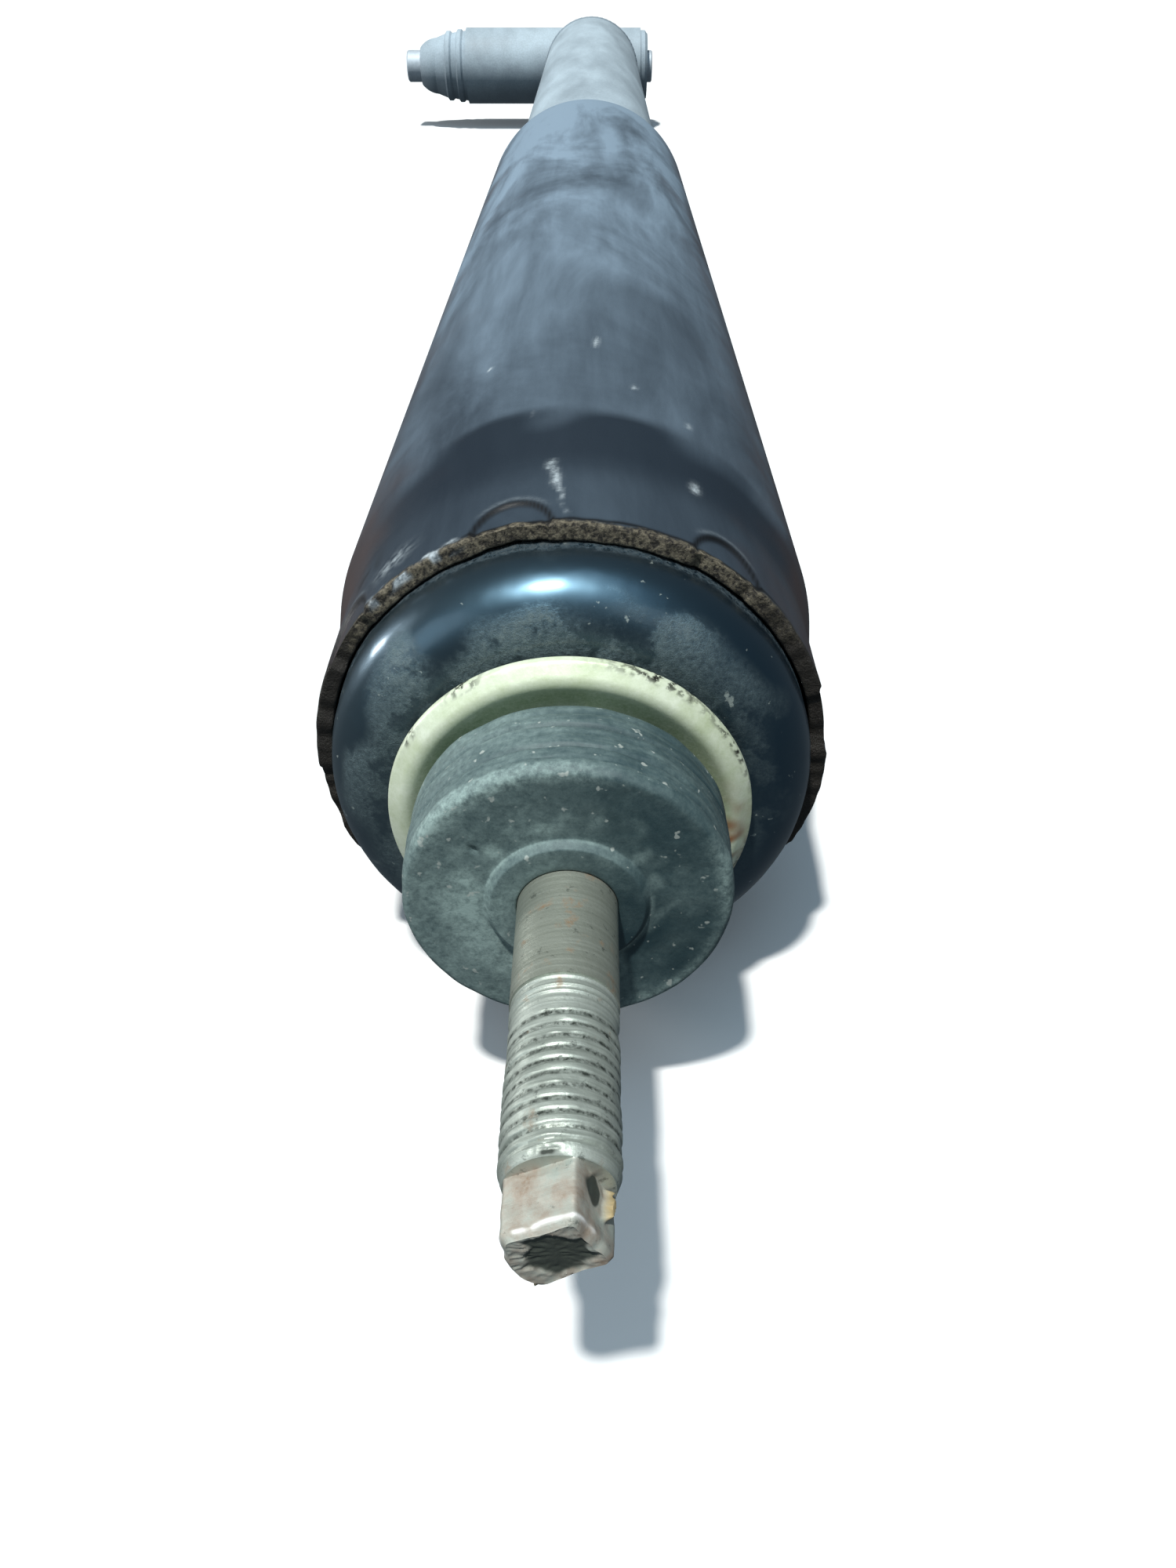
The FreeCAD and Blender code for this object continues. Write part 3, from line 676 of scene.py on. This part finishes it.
def tubeShape(radius, station, angle):
    # profile turned. Half-round tongues near the rim are pressed in and leave a notch; the
    # rim is nibbled and wanders in and out; the barrel is very slightly out of round.
    # The marks say where dust, soil and chalky scrapes lie, and where shadow and
    # highlights are painted.
    near = 1 - smooth(8.6, 12.5, station)
    nibble = 0.20 * around(angle, 61, 6, 90, 0.45) \
        + 0.6 * np.clip(around(angle, 62, 4, 26, 0.3) - 1.0, 0, 2)
    moved = radius + near * 0.16 * around(angle, 63, 2, 14, 0.6)
    moved = moved + 0.06 * around(angle, 64, 2, 5) * smooth(20, 60, station)
    outside = radius > 28.9
    arcs = np.zeros_like(radius)
    slitShadows = np.zeros_like(radius)
    tongueHighlights = np.zeros_like(radius)
    notches = np.zeros_like(radius)
    rng = np.random.default_rng(65)
    for i in range(tube["tongues"]):
        off = apart(angle, tube["firstTongue"] + 45 * i + rng.uniform(-1.5, 1.5))
        across = off * tube["neck"] / tube["tongueHalfWidth"]
        along = (station - tube["rim"]) / tube["tongueHeight"]
        far = np.sqrt(across ** 2 + along ** 2)
        arcs = np.maximum(arcs, 1 - smooth(0.88, 1.0, far))
        # painted shadow along each tongue's outline
        slitShadows = np.maximum(slitShadows, hump(far, 0.95, 0.075))
        # painted highlight along each tongue's upper edge
        tongueHighlights = np.maximum(tongueHighlights, hump(far, 1.09, 0.07) * smooth(0.6, 0.95, along))
        notches = np.maximum(notches, 1 - smooth(0.72, 0.85, np.abs(across)))
    moved = moved - np.where(outside, tube["tongueDepth"] * arcs, 0)
    pushed = station + near * (station < 20) * (nibble + 0.45 * notches)
    wander = 0.4 * around(angle, 66, 8, 90, 0.4)
    rim = 1 - smooth(8.9, 9.5, station - 0.25 * notches + wander * 0.8)
    # a chalky scrape down the top of the neck, a scuff and torn white chips on its left
    offLine = apart(angle, -1.2 - 0.26 * (station - 12)) * 29
    broken = 0.6 + 0.6 * ripple(radius, station, angle, 68, 1.3)
    scrape = hump(offLine, 0.2 * np.sin(station * 1.3), 0.20 + 0.26 * smooth(15, 20, station))
    scrape = scrape * smooth(9.8, 11.5, station) * (1 - smooth(23.5, 25.0, station))
    scrape = scrape * (0.35 + 0.65 * smooth(13, 18, station)) * np.clip(broken, 0.3, 1)
    scuff = hump(apart(angle, -41) * 29, 0, 2.2) * hump(station, 14.0, 1.8) * 0.7 \
        * np.clip(broken, 0, 1)
    speck = sum(hump(apart(angle, at) * 29, 0, size) * hump(station, where, 1.6 * size)
                for at, where, size in tube["specks"])
    chips = (1 - smooth(9.0, 9.9, station + 2 * wander)) * smooth(27.8, 28.6, radius) \
        * smooth(15, 9, abs(np.degrees(apart(angle, -35)))) \
        * smooth(-0.7, 0.3, ripple(radius, station, angle, 67, 2.2))
    smudge = hump(apart(angle, -52) * 29, 0, 2.6) * hump(station, 18.0, 3.6) \
        * smooth(-0.6, 0.4, ripple(radius, station, angle, 71, 3.0))
    up = smooth(0.32, 0.80, np.cos(angle) + 0.06 * ripple(radius, station, angle, 69, 30)
                + 0.03 * ripple(radius, station, angle, 72, 6))
    barrel = smooth(31.0, 37.0, station + 1.8 * ripple(radius, station, angle, 70, 12))
    step = smooth(18.0, 27.0, station) * (1 - barrel)
    # painted shadow under the rim's lip
    lipShadow = outside * hump(station, 9.5 + 0.3 * wander, 0.36) * smooth(44, 30, abs(np.degrees(
        apart(angle, 14))))
    marks = {"rim": np.clip(rim - chips, 0, 1), "up": up, "barrel": barrel, "step": step,
             # chalk includes a painted highlight on the tongues' upper edges
             "chalk": np.clip(scrape + scuff + speck + chips + 0.15 * tongueHighlights * outside, 0, 1),
             # cut: painted shadow in the tongues' slits, the rim's notches and under the lip, with
             # a dark smudge
             "cut": np.clip(slitShadows * outside + notches * near * (station < 9.6) + lipShadow
                            + 0.8 * smudge, 0, 1),
             # reach: dust, and a painted glancing sheen, growing along the barrel
             "reach": smooth(40, 260, station)}
    return moved, pushed, marks


def makeTube():
    t = tube
    outer, inner = t["endRadius"], t["endRadius"] - t["wall"]
    profile = rounded([
        (t["neck"], t["rim"], 0.35, 0.24),
        (t["neck"] + 0.05, t["rim"] + 8.0, 0.0, 0.75),
        (t["neck"] + 0.1, t["neckEnd"], 6.0, 0.75),
        (t["radius"], t["stepEnd"], 6.0, 1.0),
        (t["radius"], 60.0, 0.0, 3.0),
        (outer, t["end"], 0.6, 0.5),
        (inner, t["end"], 0.6, 12.0),
        (t["radius"] - t["wall"], t["stepEnd"] + 0.5, 3.0, 3.0),
        (t["neckInner"], t["neckEnd"] + 0.5, 3.0, 3.0),
        (t["neckInner"], t["rim"], 0.25, 0.24)])
    return turned("dustTube", profile, t["columns"], tubeShape, sharp=50)


def mouldedPlastic():
    # Polypropylene, injection moulded, slate black: matt, under a film of road dust that
    # lies on the upper side of the barrel and, with a painted glancing sheen, thickens along
    # it; below, a painted brown reflection. Chalk-white where it has been scraped, and caked
    # with sandy soil on the rim. Painted shadow darkens the tongues' slits, the rim's notches,
    # the line under the lip and the step; painted highlights lie on the tongues' upper edges.
    material, shader, place, add = startMaterial("mouldedPolypropylene")
    long = add("Mapping", {"Vector": place, "Scale": (perMm(24), perMm(60), perMm(24))})
    cloud = add("TexNoise", {"Vector": long, "Scale": 1.0, "Detail": 6.0, "Roughness": 0.6,
                             "Distortion": 0.8})
    streak = add("Mapping", {"Vector": place, "Scale": (perMm(7), perMm(60), perMm(7))})
    streaks = add("TexNoise", {"Vector": streak, "Scale": 1.0, "Detail": 5.0, "Roughness": 0.6,
                               "Distortion": 0.3})
    grain = add("TexNoise", {"Vector": place, "Scale": perMm(0.6), "Detail": 6.0,
                             "Roughness": 0.72})
    names = ("reach", "rim", "chalk", "cut", "up", "barrel", "step")
    mark = {key: add("Attribute", attribute_name=key).outputs["Fac"] for key in names}
    haze = add("MapRange", {"Value": cloud, "From Min": 0.30, "From Max": 0.70, "To Min": 0.32,
                            "To Max": 1.22})
    lined = add("MapRange", {"Value": streaks, "From Min": 0.30, "From Max": 0.70, "To Min": 0.65,
                             "To Max": 1.25})
    film = add("Math", {0: haze, 1: lined}, operation="MULTIPLY")
    # dust and a painted glancing sheen grow paler along the barrel
    dustAndSheenAlong = add("Math", {0: mark["reach"], 1: 0.88, 2: 0.25}, operation="MULTIPLY_ADD")
    onBarrel = add("Math", {0: mark["barrel"], 1: dustAndSheenAlong, 2: 0.15}, operation="MULTIPLY_ADD")
    # painted shade: the step gets less dust, so it stays darker
    stepShaded = add("Math", {0: mark["step"], 1: -0.12, 2: onBarrel}, operation="MULTIPLY_ADD")
    dust = add("Math", {0: film, 1: stepShaded}, operation="MULTIPLY", use_clamp=True)
    # painted reflection: brown on the sides and underside, away from the top
    reflectedBelow = add("Mix", {0: mark["up"], 6: colour(tube["flankReflection"]), 7: colour(tube["plastic"])},
                data_type="RGBA").outputs[2]
    hold = add("MapRange", {"Value": mark["up"], "To Min": 0.34, "To Max": 1.0})
    lying = add("Math", {0: dust, 1: hold}, operation="MULTIPLY")
    base = add("Mix", {0: lying, 6: reflectedBelow, 7: colour(tube["dust"])}, data_type="RGBA").outputs[2]
    broken = add("MapRange", {"Value": grain, "From Min": 0.34, "From Max": 0.6, "To Min": 0.2})
    rubbed = add("Math", {0: mark["chalk"], 1: broken}, operation="MULTIPLY")
    scraped = add("Mix", {0: rubbed, 6: base, 7: colour(tube["chalk"])},
                  data_type="RGBA").outputs[2]
    # painted shadow: near-black where cut is set
    shaded = add("Mix", {0: mark["cut"], 6: scraped, 7: colour(tube["cut"])},
                 data_type="RGBA").outputs[2]
    gritty = add("MapRange", {"Value": grain, "From Min": 0.42, "From Max": 0.66})
    sunny = add("MapRange", {"Value": mark["up"], "From Min": 0.3, "To Max": 0.9})
    sandy = add("Math", {0: gritty, 1: sunny}, operation="MULTIPLY")
    soil = add("Mix", {0: sandy, 6: colour(tube["soilDark"]), 7: colour(tube["soilLight"])},
               data_type="RGBA").outputs[2]
    final = add("Mix", {0: mark["rim"], 6: shaded, 7: soil}, data_type="RGBA").outputs[2]
    rough = add("MapRange", {"Value": dust, "To Min": 0.46, "To Max": 0.78})
    height = add("Math", {0: mark["rim"], 1: 1.2, 2: 0.12}, operation="MULTIPLY_ADD")
    lumps = add("Math", {0: height, 1: grain}, operation="MULTIPLY")
    bump = add("Bump", {"Height": lumps, "Strength": 0.8, "Distance": 0.00035})
    setInputs(shader, {"Base Color": final, "Roughness": rough, "Normal": bump, "IOR": 1.49,
                       "Specular IOR Level": 0.35})
    return material


# The weld round the base of the reserve tube.

weld = {"bead": 1.35, "scales": 58, "scaleDepth": 0.16, "wander": 0.12, "columns": 580}


def weldShape(radius, station, angle):
    # bead turned, with the weld pool's overlapping scales: a saw wave round the seam, bent
    # back at the bead's sides, and a slow wander in its width
    low, high = station.min(), station.max()
    side = (2 * station - low - high) / (high - low)
    saw = ((angle * weld["scales"] / (2 * math.pi) + 0.5 * side ** 2
            + 0.3 * around(angle, 81, 3, 20)) % 1.0)
    outward = radius > radius.min() + 0.6
    moved = radius - outward * weld["scaleDepth"] * (1 - saw) * smooth(0.05, 0.2, saw) \
        - outward * weld["wander"] * (1 + 0.5 * around(angle, 82, 3, 30, 0.5))
    return moved, station, {}


def makeWeld():
    low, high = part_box("base_weld")
    middle = ((low.y + high.y) / 2 - shoulderY) / mm
    half = (high.y - low.y) / 2 / mm
    outer = high.x / mm
    t = np.linspace(0, 2 * math.pi, 20, endpoint=False)
    depth = weld["bead"]
    profile = np.stack([outer - depth + depth * np.cos(t), middle + half * np.sin(t)], -1)
    return turned("baseWeldBead", profile, weld["columns"], weldShape)


# Simple finishes for the lower end and for the pieces inside.

def dustyPaint(name, dark, dust, amount, gloss):
    # Steel in black stoving paint under grey road dust: the dust lies in drifts and the
    # paint shows through it, with a soft shine at a glancing angle.
    material, shader, place, add = startMaterial(name)
    long = add("Mapping", {"Vector": place, "Scale": (perMm(15), perMm(60), perMm(15))})
    cloud = add("TexNoise", {"Vector": long, "Scale": 1.0, "Detail": 6.0, "Roughness": 0.55,
                             "Distortion": 0.2})
    grain = add("TexNoise", {"Vector": place, "Scale": perMm(0.8), "Detail": 4.0,
                             "Roughness": 0.7})
    drift = add("MapRange", {"Value": cloud, "From Min": 0.32, "From Max": 0.7,
                             "To Min": amount * 0.7, "To Max": min(1.0, amount * 1.2)})
    level = add("SeparateXYZ", {"Vector": place}).outputs["Z"]
    upper = add("MapRange", {"Value": level, "From Min": -0.012, "From Max": 0.010, "To Min": 0.42,
                             "To Max": 1.0})
    speck = add("MapRange", {"Value": grain, "From Min": 0.3, "From Max": 0.7, "To Min": 0.8,
                             "To Max": 1.15})
    lying = add("Math", {0: drift, 1: upper}, operation="MULTIPLY")
    film = add("Math", {0: lying, 1: speck}, operation="MULTIPLY", use_clamp=True)
    base = add("Mix", {0: film, 6: colour(dark), 7: colour(dust)}, data_type="RGBA").outputs[2]
    rough = add("MapRange", {"Value": film, "To Min": gloss, "To Max": 0.85})
    bump = add("Bump", {"Height": grain, "Strength": 0.35, "Distance": 0.0001})
    setInputs(shader, {"Base Color": base, "Roughness": rough, "Normal": bump, "IOR": 1.5})
    return material


def insideMetal(name, light, dark, roughLow, roughHigh, grainMm, metallic=1.0):
    # Bare metal kept in oil: an even colour with the cutter's or the press's fine grain.
    material, shader, place, add = startMaterial(name)
    grain = add("TexNoise", {"Vector": place, "Scale": perMm(grainMm), "Detail": 4.0,
                             "Roughness": 0.6})
    base = add("Mix", {0: grain, 6: colour(dark), 7: colour(light)}, data_type="RGBA").outputs[2]
    rough = add("MapRange", {"Value": grain, "To Min": roughLow, "To Max": roughHigh})
    bump = add("Bump", {"Height": grain, "Strength": 0.2, "Distance": 0.00005})
    setInputs(shader, {"Base Color": base, "Metallic": metallic, "Roughness": rough,
                       "Normal": bump})
    return material


def standIn(piece, body, node, material):
    piece.data.materials.clear()
    piece.data.materials.append(material)
    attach(piece, body)
    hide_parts(node)


rodSteel = turnedSteel()
standIn(makeStud(), "rod", "piston_rod", rodSteel)
print("stud made")
bushRubber = oldRubber("agedNaturalRubber", bush["rubber"], bush["dust"], bush["dustCover"])
standIn(makeBush(), "bush", "upper_bush", bushRubber)
print("bush made")
standIn(makeWasher(), "washer", "cup_washer", zincPassivate())
print("washer made")
enamel = capPaint()
standIn(makeCap(), "rod", "dust_cap", enamel)
print("cap made")
standIn(makeTube(), "rod", "dust_tube", mouldedPlastic())
print("dust tube made")

paintedWeld = dustyPaint("paintedWeldedSteel", "2c3338", "93a3ae", 0.65, 0.45)
standIn(makeWeld(), "damper_body", "base_weld", paintedWeld)
print("weld made")

finishes = {
    "tube_paint": dustyPaint("stovedBlackPaint", "434d56", "b2c3cd", 0.74, 0.35),
    "weld_steel": paintedWeld,
    "bush_rubber": dustyPaint("dustyRubber", "434e56", "adbec9", 0.78, 0.6),
    "sleeve_zinc": insideMetal("dullZincPlate", "c2ccd4", "93a0aa", 0.5, 0.75, 1.5, 0.4),
    "plain_steel": insideMetal("machinedSteel", "9c9ea0", "808284", 0.25, 0.4, 0.8),
    "spring_steel": insideMetal("blueSpringSteel", "7d8288", "5c6066", 0.25, 0.4, 0.6),
    "sintered_iron": insideMetal("sinteredIron", "6c6864", "3c3a38", 0.5, 0.75, 0.4),
    "cushion_rubber": oldRubber("blackCushionRubber", "151617", "2d2e2e", 0.4),
    "seal_rubber": oldRubber("nitrileRubber", "101112", "242525", 0.3),
    "band_plastic": insideMetal("filledFluoropolymer", "5a4030", "3f2c20", 0.4, 0.6, 0.5, 0.0),
    "rod_steel": rodSteel,
    "cap_paint": enamel,
}
# slots with no finish belong to nodes that a piece above stands in for
slotOf = {s["node"]: s["material_slot"] for s in frame["record"]["subparts"]}
for name, node in frame["nodes"].items():
    finish = finishes.get(slotOf[name])
    if finish:
        node.data.materials.clear()
        node.data.materials.append(finish)
print("finishes set")


# Floor, light and camera.

view = {
    "camera": (2.49, -100.67, 78.82), "pitch": -37.02, "yaw": 0.33, "lensMm": 27.0,
    "floorColour": "dfe1e2", "floorLight": "e5e7e8", "skyColour": "cfe2f0", "sky": 0.15,
    "backdrop": "e6eaec", "sensorMm": 36.0, "clipStart": 0.01, "floorSize": 24,
    "floorAhead": 4,  # metres the floor's centre lies beyond the origin
}

# name, direction from the shoulder, distance, disc diameter, watts, tint; the key is a sun,
# whose size is in degrees and whose strength is in watts a square metre
lamps = [
    ("key", (-0.16, -0.28, 0.95), 1.0, 3.5, 4.2, "fffdf8"),
    ("overhead", (0.0, -0.28, 1.0), 3.0, 3.0, 32.0, "b4d8f0"),
    ("front", (0.45, -0.75, 0.60), 2.5, 1.4, 5.5, "eef5f8"),
    ("leftSide", (-0.85, -0.45, 0.42), 2.2, 1.4, 9.0, "e4f1f9"),
    ("lowLeft", (-0.90, 0.40, 0.17), 1.6, 0.26, 6.0, "ffffff"),
]


def makeStage():
    bpy.ops.mesh.primitive_plane_add(size=view["floorSize"],
                                     location=(0, view["floorAhead"], cadBox[0].z))
    floor = bpy.context.object
    floor.name = "floor"
    material, shader, place, add = startMaterial("paleFloor")
    grain = add("TexNoise", {"Vector": place, "Scale": perMm(60), "Detail": 3.0})
    base = add("Mix", {0: grain, 6: colour(view["floorColour"]), 7: colour(view["floorLight"])},
               data_type="RGBA").outputs[2]
    setInputs(shader, {"Base Color": base, "Roughness": 0.9})
    floor.data.materials.append(material)
    floor.visible_diffuse = False  # the floor throws no light back, so undersides stay dark
    floor.visible_glossy = False


def makeLight():
    target = Vector((0, shoulderY, 0))
    for name, way, distance, size, power, tint in lamps:
        lamp = bpy.data.lights.new(name, "SUN" if name == "key" else "AREA")
        if name == "key":
            lamp.angle = math.radians(size)
        else:
            lamp.shape = "DISK"
            lamp.size = size
        lamp.energy = power
        lamp.color = colour(tint)[:3]
        item = bpy.data.objects.new(name, lamp)
        bpy.context.scene.collection.objects.link(item)
        item.location = target + Vector(way).normalized() * distance
        item.rotation_euler = (-Vector(way)).to_track_quat("-Z", "Y").to_euler()
    world = bpy.data.worlds.new("studio")
    world.use_nodes = True
    world.node_tree.nodes.clear()
    add = partial(addNode, world.node_tree)
    sky = add("Background", {"Color": colour(view["skyColour"]), "Strength": view["sky"]})
    seen = add("Background", {"Color": colour(view["backdrop"])})
    fromCamera = add("LightPath").outputs["Is Camera Ray"]
    both = add("MixShader", {0: fromCamera, 1: sky, 2: seen})
    add("OutputWorld", {"Surface": both})
    bpy.context.scene.world = world


def makeCamera():
    lens = bpy.data.cameras.new("camera")
    lens.lens = view["lensMm"]
    lens.sensor_width = view["sensorMm"]
    lens.clip_start = view["clipStart"]
    camera = bpy.data.objects.new("camera", lens)
    bpy.context.scene.collection.objects.link(camera)
    x, station, z = view["camera"]
    camera.location = (x * mm, shoulderY + station * mm, z * mm)
    camera.rotation_euler = (math.radians(90 + view["pitch"]), 0, math.radians(view["yaw"]))
    bpy.context.scene.camera = camera


makeStage()
makeLight()
makeCamera()
bpy.context.scene.view_settings.view_transform = "Standard"
print("stage, light and camera set")
